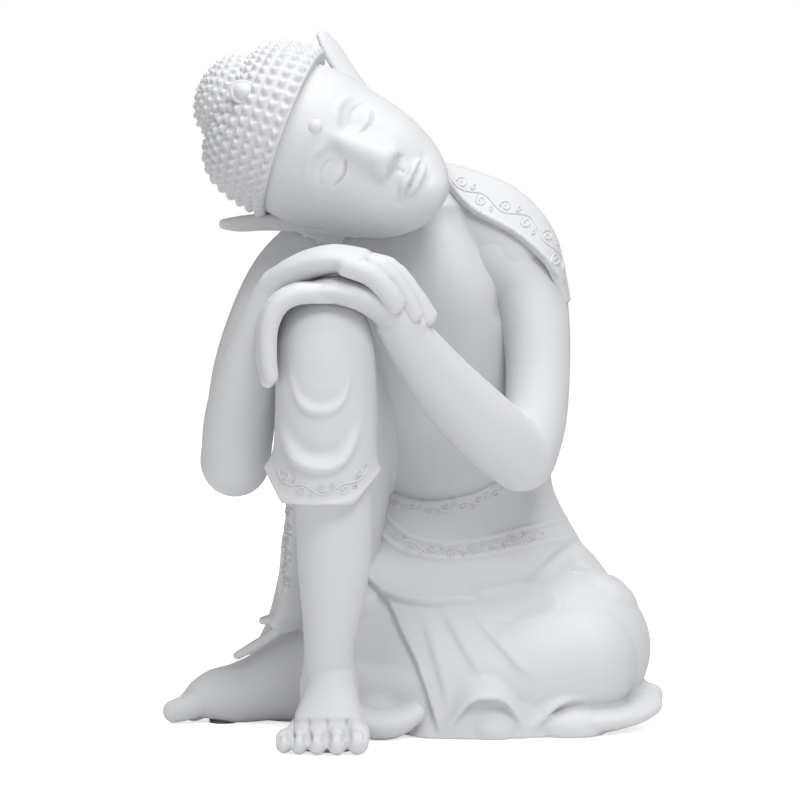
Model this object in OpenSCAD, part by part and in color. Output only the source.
// Resting seated figure: a hollow cast-resin statue, glued up from separate castings.
// The figure faces -Y, +Z is up, and the origin is on the ground under the middle of the base.
// "Left" and "right" in names are the figure's own left and right.

/* [Figure] */
// Overall height of the figure
figure_h = 400; // [320:5:480]
// Overall width, from toe to hem
figure_w = 290; // [240:5:350]
// Overall depth, from front toes to the back of the robe
figure_d = 225; // [185:5:270]

/* [Casting] */
// Wall thickness of the hollow castings
wall = 6; // [4:0.5:9]
// Glue gap left between castings that seat on each other
glue = 0.2; // [0.1:0.05:0.5]
// Thickness of the robe layers that are cast as separate shells
cloth = 4; // [3:0.5:6]

/* [Base] */
// Thickness of the plate that closes the underside
plate_t = 4; // [3:0.5:6]
// Radius of the vent hole in the base plate
vent_r = 3; // [2:0.5:5]
// Radius of a felt pad
pad_r = 8; // [5:0.5:10]
// Thickness of a felt pad
pad_t = 2; // [1:0.5:3]
// How far a felt pad stands below the castings
pad_proud = 0.5; // [0.3:0.1:0.8]

/* [Dowels] */
// Radius of the steel dowels
dowel_r = 3; // [2:0.5:4]
// Length of a dowel
dowel_l = 36; // [24:2:44]
// Gap round a dowel in its hole
dowel_gap = 0.15; // [0.1:0.05:0.3]

/* [Head ornament] */
// Radius of the dome over the forehead mark
mark_r = 4.5; // [3:0.5:6]
// Radius of the hair jewel
jewel_r = 7; // [5:0.5:9]

/* [Hidden] */

resin = "whitesmoke";
slab = 0.4;                                        // thickness of a drawn section
far = 2 * max(figure_h, figure_w, figure_d);       // longer than anything in the figure
// Stretch of each axis against the reference figure of 290 x 225 x 400
k = [figure_w / 290, figure_d / 225, figure_h / 400];
kr = pow(k[0] * k[1] * k[2], 1 / 3);               // mean stretch, for round sections

function at(p) = [p[0] * k[0], p[1] * k[1], p[2] * k[2]];
function unit(v) = v / norm(v);
// Direction of a path of stations at station i
function heading(s, i) =
    unit(at(s[min(i + 1, len(s) - 1)]) - at(s[max(i - 1, 0)]));

// Path of stations with one more station between each pair, on a smooth curve through them
function smooth(s) = [
    for (i = [0 : len(s) - 1])
        let (a = s[max(i - 1, 0)], b = s[i], c = s[min(i + 1, len(s) - 1)], d = s[min(i + 2, len(s) - 1)])
            for (p = i < len(s) - 1 ? [b, (9 * (b + c) - a - d) / 16] : [b]) p];

// One oval section of a limb, square to its path. A station is [x, y, z, half side, half thickness].
module oval(s, i, grow, up, sides) {
    t = heading(s, i);
    a = unit(cross(up, t));
    b = cross(t, a);
    p = at(s[i]);
    multmatrix([[a[0], b[0], t[0], p[0]], [a[1], b[1], t[1], p[1]], [a[2], b[2], t[2], p[2]]])
        linear_extrude(slab, center = true)
            scale([s[i][3] * kr + grow, s[i][4] * kr + grow])
                circle(1, $fn = sides);
}

// A limb through its stations, with a ball at either end if asked
module limb(s, grow = 0, up = [0, 0, 1], ends = [false, false], sides = 20) {
    last = len(s) - 1;
    for (i = [0 : last - 1])
        hull() {
            oval(s, i, grow, up, sides);
            oval(s, i + 1, grow, up, sides);
            if (ends[0] && i == 0) ball(s[0], grow, sides);
            if (ends[1] && i == last - 1) ball(s[last], grow, sides);
        }
}

module ball(st, grow = 0, sides = 20)
    translate(at(st)) sphere(min(st[3], st[4]) * kr + grow, $fn = sides);

// A stack of level ovals. A station is [x, y, z, half width, half depth].
module stack(s, grow = 0, sides = 24) {
    for (i = [0 : len(s) - 2])
        hull() for (j = [i, i + 1])
            translate(at(s[j]))
                linear_extrude(slab, center = true)
                    scale([s[j][3] * k[0] + grow, s[j][4] * k[1] + grow])
                        circle(1, $fn = sides);
}

// Keeps what stands clear of the ground
module grounded()
    intersection() {
        children();
        translate([-far / 2, -far / 2, pad_proud]) cube(far);
    }

/* ---- Torso ---- */
waist_z = 112;                                     // height of the joint between torso and skirt
torso_s = [[26, 48, waist_z, 61, 45], [24, 46, 134, 56, 44], [20, 41, 165, 53, 42], [15, 36, 200, 54, 41],
           [10, 32, 232, 59, 41], [6, 28, 258, 62, 39], [5, 26, 276, 60, 36], [6, 24, 292, 50, 31],
           [7, 20, 305, 34, 26], [7, 17, 317, 24, 21]];
hollow_top = 294;                                  // the hollow in the torso ends below the neck
neck_s = [[5, 16, 296, 22, 22], [0, 10, 312, 20, 20], [-10, 3, 326, 21, 22]];
left_shoulder = [62, 16, 271, 26, 26];
right_shoulder = [-62, 20, 266, 25, 25];

module torso_form(grow = 0) {
    stack(torso_s, grow);
    limb(neck_s, grow, [0, 1, 0]);
    hull() { ball(left_shoulder, grow, 16); ball([38, 20, 291, 22, 22], grow, 16); }
    hull() { ball(right_shoulder, grow, 16); ball([-26, 25, 284, 22, 22], grow, 16); }
}

/* ---- Arms ---- */
left_upper_s = [[65, 15, 258, 22, 23], [71, 9, 236, 20.5, 21.5], [72.5, 0, 205, 19, 20], [70, -11, 178, 19, 20],
                [63, -22, 160, 20, 20]];
left_fore_s = [[62, -23, 159, 20, 20], [45, -38, 177, 21, 20.5], [24, -54, 202, 19, 19], [6, -68, 226, 15.5, 15],
               [-7, -77, 240, 13.5, 11.5]];
right_upper_s = [[-68, 18, 258, 22, 23], [-80, 9, 236, 20.5, 22], [-91, -4, 208, 20.5, 21], [-97, -16, 181, 20, 20],
                 [-101, -26, 157, 20, 20]];
right_fore_s = [[-101, -27, 156, 19.5, 19.5], [-98, -39, 182, 19.5, 19.5], [-92, -51, 211, 17.5, 17],
                [-83, -61, 239, 15, 14], [-74, -67, 259, 13.5, 11.5]];
/* ---- Hands: palm path, then one path for each finger ---- */
left_palm_s = [[-7, -77, 240, 13.5, 11], [-22, -80, 250, 18, 9], [-38, -80, 257, 21, 8], [-52, -79, 257, 21, 7.5]];
left_fingers = [
    [[-48, -93, 256, 5.6, 5.6], [-61, -97, 251, 5.4, 5.4], [-71, -97, 232, 5, 5], [-73, -97, 208, 4.2, 4.2]],
    [[-50, -83, 258, 5.6, 5.6], [-66, -86, 251, 5.4, 5.4], [-78, -88, 231, 5, 5], [-80, -88, 203, 4.2, 4.2]],
    [[-50, -73, 258, 5.6, 5.6], [-68, -75, 251, 5.4, 5.4], [-81, -77, 233, 5, 5], [-83, -77, 207, 4.2, 4.2]],
    [[-48, -63, 256, 5, 5], [-64, -66, 250, 4.8, 4.8], [-73, -69, 241, 4.4, 4.4]]];
right_palm_s = [[-74, -66, 258, 13.5, 11], [-62, -72, 269, 17, 9], [-46, -78, 275, 20, 8.5],
                [-29, -80, 274, 21, 8]];
right_fingers = [
    [[-32, -96, 270, 5.8, 5.8], [-19, -98, 262, 5.6, 5.6], [-8, -96, 251, 5.2, 5.2], [-1, -94, 242, 4.4, 4.4]],
    [[-32, -85, 274, 5.8, 5.8], [-14, -87, 267, 5.6, 5.6], [-1, -86, 253, 5.2, 5.2], [8, -85, 240, 4.4, 4.4]],
    [[-32, -74, 275, 5.8, 5.8], [-12, -75, 269, 5.6, 5.6], [3, -75, 254, 5.2, 5.2], [13, -75, 239, 4.4, 4.4]],
    [[-32, -64, 273, 5.2, 5.2], [-14, -63, 268, 5, 5], [2, -63, 256, 4.6, 4.6], [12, -64, 243, 4, 4]]];

module arm_form(upper, fore, grow) {
    limb(smooth(upper), grow, [0, 1, 0], [false, true], 16);
    limb(smooth(fore), grow, [0, 0, 1], [true, false], 16);
}
module hand_form(palm, fingers, grow) {
    limb(palm, grow, [0, 0, 1], sides = 16);
    for (f = fingers) limb(f, grow, [0, 1, 0], [false, true], sides = 8);
}
module left_arm_form(grow = 0) {
    arm_form(left_upper_s, left_fore_s, grow);
    hand_form(left_palm_s, left_fingers, grow);
}
module right_arm_form(grow = 0) {
    arm_form(right_upper_s, right_fore_s, grow);
    hand_form(right_palm_s, right_fingers, grow);
}

/* ---- Raised leg ---- */
shin_s = [[-48, -72, 190, 17, 18], [-47, -71, 150, 19.5, 20], [-47, -69, 125, 20, 21], [-47.5, -66, 102, 19.5, 20],
          [-48, -63, 80, 17.2, 17.5], [-48, -60, 62, 14.6, 15.5], [-48, -58, 46, 13.8, 15], [-48, -57, 34, 15, 17],
          [-48, -56, 18, 14.5, 18]];
sole_s = [[-48, -37, 11, 11, 12], [-48, -46, 13, 14.5, 15], [-48, -62, 15, 16.5, 17], [-47.5, -80, 11, 19.5, 13],
          [-47, -94, 8, 22.5, 10], [-47, -102, 6.5, 23, 8]];
toes = [[[-32, -90, 10, 7.5, 7.5], [-30.5, -106.5, 7.5, 7, 7]],
        [[-42, -96, 9, 5.4, 5.4], [-41, -109.5, 6, 5, 5]],
        [[-50, -96, 8.5, 5, 5], [-50, -108.5, 5.6, 4.7, 4.7]],
        [[-58, -94, 8, 4.6, 4.6], [-58.5, -107, 5.3, 4.5, 4.5]],
        [[-65, -90, 7.5, 4.4, 4.4], [-66, -102, 5, 4.3, 4.3]]];
module raised_leg_form(grow = 0) {
    stack(smooth(shin_s), grow, 20);
    limb(sole_s, grow, ends = [true, false]);
    for (t = toes) limb(t, grow, ends = [false, true], sides = 8);
}

/* ---- Folded foot, lying on its outer side ---- */
foot_s = [[-30, 6, 23, 19, 22], [-50, 11, 23, 19, 22], [-70, 14, 20, 17, 20], [-88, 15, 15, 16, 17],
          [-106, 15, 12, 15, 14], [-122, 14, 10.5, 14, 12.5], [-128, 14, 9, 12, 10]];
folded_toes = [[[-124, 8, 9.5, 8, 8], [-139, 7, 7.5, 7, 7]],
               [[-124, 17, 8, 5.5, 5.5], [-134, 18, 6, 5, 5]],
               [[-120, 25, 7.5, 5, 5], [-128, 27, 5.5, 4.6, 4.6]]];
module folded_foot_form(grow = 0) {
    limb(foot_s, grow);
    for (t = folded_toes) limb(t, grow, ends = [false, true], sides = 8);
}

/* ---- Robe ---- */
knee_s = [[-49, -66, 254, 6, 6], [-49, -68, 250, 17, 17], [-49, -69, 242, 24, 24], [-49, -70, 228, 27.5, 28],
          [-48.5, -70.5, 205, 28.2, 29], [-48, -71, 185, 28, 29], [-48, -71, 168, 28.5, 29.5],
          [-47.5, -71, 152, 30, 30.5], [-47, -71, 140, 31, 31]];
thigh_s = [[-49, -66, 222, 28, 28], [-42, -36, 200, 30, 32], [-32, -2, 172, 33, 36], [-20, 34, 140, 36, 40],
           [-8, 52, 110, 34, 40]];
module knee_drape_form(grow = 0) {
    stack(knee_s, grow, 20);
    limb(thigh_s, grow, [0, 0, 1], [true, false], 20);
}
side_s = [[-38, -4, 176, 26, 26], [-42, 2, 140, 31, 34], [-45, 8, 110, 31, 38], [-48, 16, 80, 32, 42],
          [-54, 22, 54, 36, 46], [-62, 28, 30, 42, 50], [-66, 32, 8, 46, 54], [-66, 32, 0, 46, 54]];
module side_drape_form(grow = 0) stack(side_s, grow, 20);

hip_s = [[26, 48, waist_z, 66, 50], [27, 50, 98, 75, 52], [28, 51, 76, 84, 54], [28, 51, 46, 88, 55],
         [28, 51, 20, 89, 55], [28, 51, 0, 90, 55]];
fold_s = [[24, 50, 62, 46, 46], [62, 30, 60, 46, 46], [93, 12, 53, 43, 44], [101, 7, 50, 38, 38]];
calf_s = [[98, 2, 36, 34, 34], [62, -14, 32, 30, 31], [28, -22, 27, 26, 27], [0, -22, 23, 22, 23],
          [-24, -14, 22, 19, 21]];
module skirt_form(grow = 0) {
    stack(hip_s, grow);
    limb(fold_s, grow, [0, 0, 1], [false, true], 24);
    limb(calf_s, grow, [0, 0, 1], [true, true], 20);
}

// Underside outline of the robe, as ovals [x, y, half width, half depth] that the hem follows
hem_ovals = [[28, 51, 90, 56], [102, 6, 37, 37], [62, -14, 33, 35], [6, -22, 26, 26]];
module hem_oval(d, grow = 0)
    translate([d[0] * k[0], d[1] * k[1]])
        scale([d[2] * k[0] + grow, d[3] * k[1] + grow]) circle(1, $fn = 48);
module hem_outline(grow = 0) hull() for (d = hem_ovals) hem_oval(d, grow);

/* ---- Head, drawn upright in its own frame and then laid over on the hands ---- */
head_c = [-46, -16, 331];
head_tilt = 62;                                    // lean towards the figure's right
head_turn = 14;                                    // turn about the head's own long axis
skull_s = [[0, -10, -67, 9, 9], [0, -11, -63, 17, 18], [0, -10, -52, 26, 31], [0, -7, -38, 34, 39],
           [0, -3, -20, 41, 46], [0, 0, -2, 45, 50], [0, 2, 16, 46, 51], [0, 3, 34, 44, 48], [0, 4, 50, 36, 40],
           [0, 4, 58, 22, 26]];
cap_s = [[0, 6, -28, 46, 48], [0, 5, -10, 49.5, 52.5], [0, 4, 8, 51, 55], [0, 3, 26, 51.5, 55.5],
         [0, 3, 42, 50.5, 53.5], [0, 4, 55, 46, 49], [0, 5, 65, 35, 38], [0, 5, 69, 24, 26]];
knot_s = [[3, 4, 60, 28, 28], [3, 4, 70, 26.5, 27], [3, 4, 79, 22, 22.5], [3, 4, 85, 15, 15.5], [3, 4, 88.5, 5, 5]];
ear_s = [[61.5, 17, 38.5, 3, 2], [58.5, 15, 30, 6.5, 3.2], [54, 13, 14, 9.5, 4], [49, 11, -6, 8.5, 4],
         [45, 9, -24, 6.5, 4.2], [41, 7, -38, 5, 3.8]];
jewel_p = [3, -27, 66];
mark_p = [0, -49.5, 15];
hair_front = 31;                                   // height of the hairline over the brow
hair_slope = 17;                                   // how steeply it falls towards the nape

module in_head()
    translate(at(head_c)) rotate([0, -head_tilt, 0]) rotate([0, 0, head_turn]) children();
module skull_form(grow = 0) in_head() stack(skull_s, grow);
module cap_form(grow = 0)
    in_head() difference() {
        stack(cap_s, grow);
        translate(at([0, -60, hair_front])) rotate([-hair_slope, 0, 0])
            translate([-far / 2, -far / 2, -far - grow]) cube(far);
    }
module knot_form(grow = 0) in_head() stack(knot_s, grow, 24);
module ear_form(grow = 0) in_head() limb(ear_s, grow, [1, 0, 0], [true, true], sides = 12);
module right_ear_form(grow = 0)
    in_head() limb([for (s = ear_s) [-s[0], s[1], s[2], s[3], s[4]]], grow, [1, 0, 0], [true, true], sides = 12);
module jewel_form(grow = 0) in_head() translate(at(jewel_p)) sphere(jewel_r + grow);
module mark_form(grow = 0) in_head() translate(at(mark_p)) sphere(mark_r + grow);

/* ---- Dowels ---- */
neck_pin = [[-2, 9, 314], [-10, -7, 16]];          // middle, direction
left_pin = [[68, 12, 246], [5, -6, -26]];
right_pin = [[-74, 13, 246], [-12, -9, -26]];
thigh_pin = [[-17, 38, 132], [-10, 34, -32]];
foot_pin = [[-44, 9, 24], [1, 0.2, 0]];
module dowel(pin, gap = 0) {
    t = unit(pin[1]);
    translate(at(pin[0]))
        rotate([0, acos(t[2]), atan2(t[1], t[0])])
            cylinder(r = dowel_r + gap, h = dowel_l + 2 * gap, center = true, $fn = 24);
}

/* ---- Base ---- */
plate_inset = 14;                                  // how far the plate stops inside the hem
ledge = 5;                                         // rim that the base plate is glued against
pad_spots = [[0, 0], [28, 76], [92, 10], [-48, -78], [-110, 14]];
module plate_outline(grow = 0) hem_outline(grow - plate_inset);
module plate_recess()
    translate([0, 0, -1]) linear_extrude(1 + pad_proud + plate_t + glue) plate_outline(glue);
module pad_cuts()
    for (p = pad_spots)
        translate([p[0] * k[0], p[1] * k[1], -1]) cylinder(r = pad_r + glue, h = pad_t + 1, $fn = 32);

/* ---- Castings ---- */
module torso() color(resin)
    difference() {
        torso_form();
        stack([for (s = torso_s) if (s[2] < hollow_top) s], -wall);
        translate([0, 0, waist_z * k[2] + glue - far / 2]) cube(far, center = true);
        dowel(neck_pin, dowel_gap);
        dowel(left_pin, dowel_gap);
        dowel(right_pin, dowel_gap);
        dowel(thigh_pin, dowel_gap);
    }

module head() color(resin)
    difference() {
        skull_form();
        torso_form(glue);
        mark_form(glue);
        dowel(neck_pin, dowel_gap);
    }

module hair_cap() color(resin)
    difference() {
        cap_form();
        skull_form(glue);
        jewel_form(glue);
        torso_form(glue);
    }

module topknot() color(resin)
    difference() {
        knot_form();
        cap_form(glue);
        jewel_form(glue);
    }

module hair_jewel() color(resin) jewel_form();
module forehead_mark() color(resin) mark_form();

module left_ear() color(resin)
    difference() {
        ear_form();
        skull_form(glue);
        cap_form(glue);
    }
module right_ear() color(resin)
    difference() {
        right_ear_form();
        skull_form(glue);
        cap_form(glue);
        right_arm_form(glue);
    }

module left_arm() color(resin)
    difference() {
        left_arm_form();
        torso_form(glue);
        right_arm_form(glue);
        knee_drape_form(glue);
        dowel(left_pin, dowel_gap);
    }
module right_arm() color(resin)
    difference() {
        right_arm_form();
        torso_form(glue);
        skull_form(glue);
        knee_drape_form(glue);
        dowel(right_pin, dowel_gap);
    }

module raised_leg() color(resin)
    difference() {
        grounded() raised_leg_form();
        pad_cuts();
    }
module folded_foot() color(resin)
    difference() {
        grounded() folded_foot_form();
        dowel(foot_pin, dowel_gap);
        pad_cuts();
        plate_recess();
    }

module knee_drape() color(resin)
    difference() {
        knee_drape_form();
        raised_leg_form(glue);
        torso_form(glue);
        dowel(thigh_pin, dowel_gap);
    }
module side_drape() color(resin)
    difference() {
        grounded() side_drape_form();
        knee_drape_form(glue);
        raised_leg_form(glue);
        folded_foot_form(glue);
        torso_form(glue);
        skirt_form(glue);
        dowel(foot_pin, dowel_gap);
        pad_cuts();
        plate_recess();
    }
module skirt() color(resin)
    difference() {
        grounded() skirt_form();
        intersection() {
            skirt_form(-wall);
            linear_extrude(waist_z * k[2] - wall) plate_outline(-ledge);
        }
        plate_recess();
        knee_drape_form(glue);
        folded_foot_form(glue);
        raised_leg_form(glue);
        dowel(foot_pin, dowel_gap);
    }

frill_h = 14;                                      // height of the spread hem
frill_out = 3;                                     // how far it spreads past the robe
lobe_r = 11;                                       // radius of one scallop of its edge
lobe_n = 14;                                       // scallops round each oval of the hem
module hem_frill() color(resin)
    difference() {
        translate([0, 0, pad_proud])
            linear_extrude(frill_h * k[2], scale = 0.97) {
                hem_outline(frill_out);
                for (d = hem_ovals, i = [0 : lobe_n - 1])
                    let (a = 360 / lobe_n * i, out = frill_out + 2 - lobe_r)
                        translate([d[0] * k[0] + (d[2] * k[0] + out) * cos(a),
                                   d[1] * k[1] + (d[3] * k[1] + out) * sin(a)])
                            circle(lobe_r, $fn = 24);
            }
        skirt_form(glue);
        side_drape_form(glue);
        folded_foot_form(glue);
        raised_leg_form(glue);
        translate([0, 0, -1]) linear_extrude(far) plate_outline(glue);
    }

// Everything on one side of a plane through a point, as [point, direction into the kept side]
module side_of(plane)
    translate(at(plane[0]))
        rotate([0, acos(unit(plane[1])[2]), atan2(plane[1][1], plane[1][0])])
            translate([-far / 2, -far / 2, 0]) cube(far);
shoulder_edge = [[62, -5, 285], [0.62, 0.4, 0.68]];   // the shawl's front edge, from the neck over the shoulder
back_edge = [[0, 40, 200], [0.25, 0.95, 0]];          // its sides, where it wraps round the back
bare_edge = [[8, 0, 306], [-0.83, 0, 0.55]];          // it leaves the right shoulder bare
module shawl() color(resin)
    difference() {
        intersection() {
            torso_form(cloth);
            union() {
                side_of(shoulder_edge);
                side_of(back_edge);
            }
        }
        side_of(bare_edge);
        limb(neck_s, cloth + glue, [0, 1, 0]);
        translate([0, 0, waist_z * k[2] + sash_h * k[2] + 2 * glue - far / 2]) cube(far, center = true);
        torso_form(glue);
        left_arm_form(glue);
        right_arm_form(glue);
        knee_drape_form(glue);
        skull_form(glue);
        cap_form(glue);
    }

sash_h = 34;                                       // height of the sash above the waist joint
module waist_sash() color(resin)
    difference() {
        intersection() {
            torso_form(cloth);
            translate([-far / 2, -far / 2, waist_z * k[2] + glue]) cube([far, far, sash_h * k[2]]);
        }
        torso_form(glue);
        skirt_form(glue);
        knee_drape_form(glue);
        side_drape_form(glue);
    }

module base_plate() color("gainsboro")
    translate([0, 0, pad_proud])
        difference() {
            linear_extrude(plate_t) plate_outline();
            translate([0, 0, -pad_proud]) pad_cuts();
            translate([50 * k[0], 50 * k[1], -1]) cylinder(r = vent_r, h = plate_t + 2, $fn = 24);
        }
module felt_pads() color("dimgray")
    for (p = pad_spots) translate([p[0] * k[0], p[1] * k[1], 0]) cylinder(r = pad_r, h = pad_t - glue, $fn = 32);

module neck_dowel() color("silver") dowel(neck_pin);
module left_shoulder_dowel() color("silver") dowel(left_pin);
module right_shoulder_dowel() color("silver") dowel(right_pin);
module hip_dowel() color("silver") dowel(thigh_pin);
module foot_dowel() color("silver") dowel(foot_pin);

torso();
head();
hair_cap();
topknot();
hair_jewel();
forehead_mark();
left_ear();
right_ear();
left_arm();
right_arm();
raised_leg();
knee_drape();
side_drape();
folded_foot();
skirt();
hem_frill();
shawl();
waist_sash();
base_plate();
felt_pads();
neck_dowel();
left_shoulder_dowel();
right_shoulder_dowel();
hip_dowel();
foot_dowel();
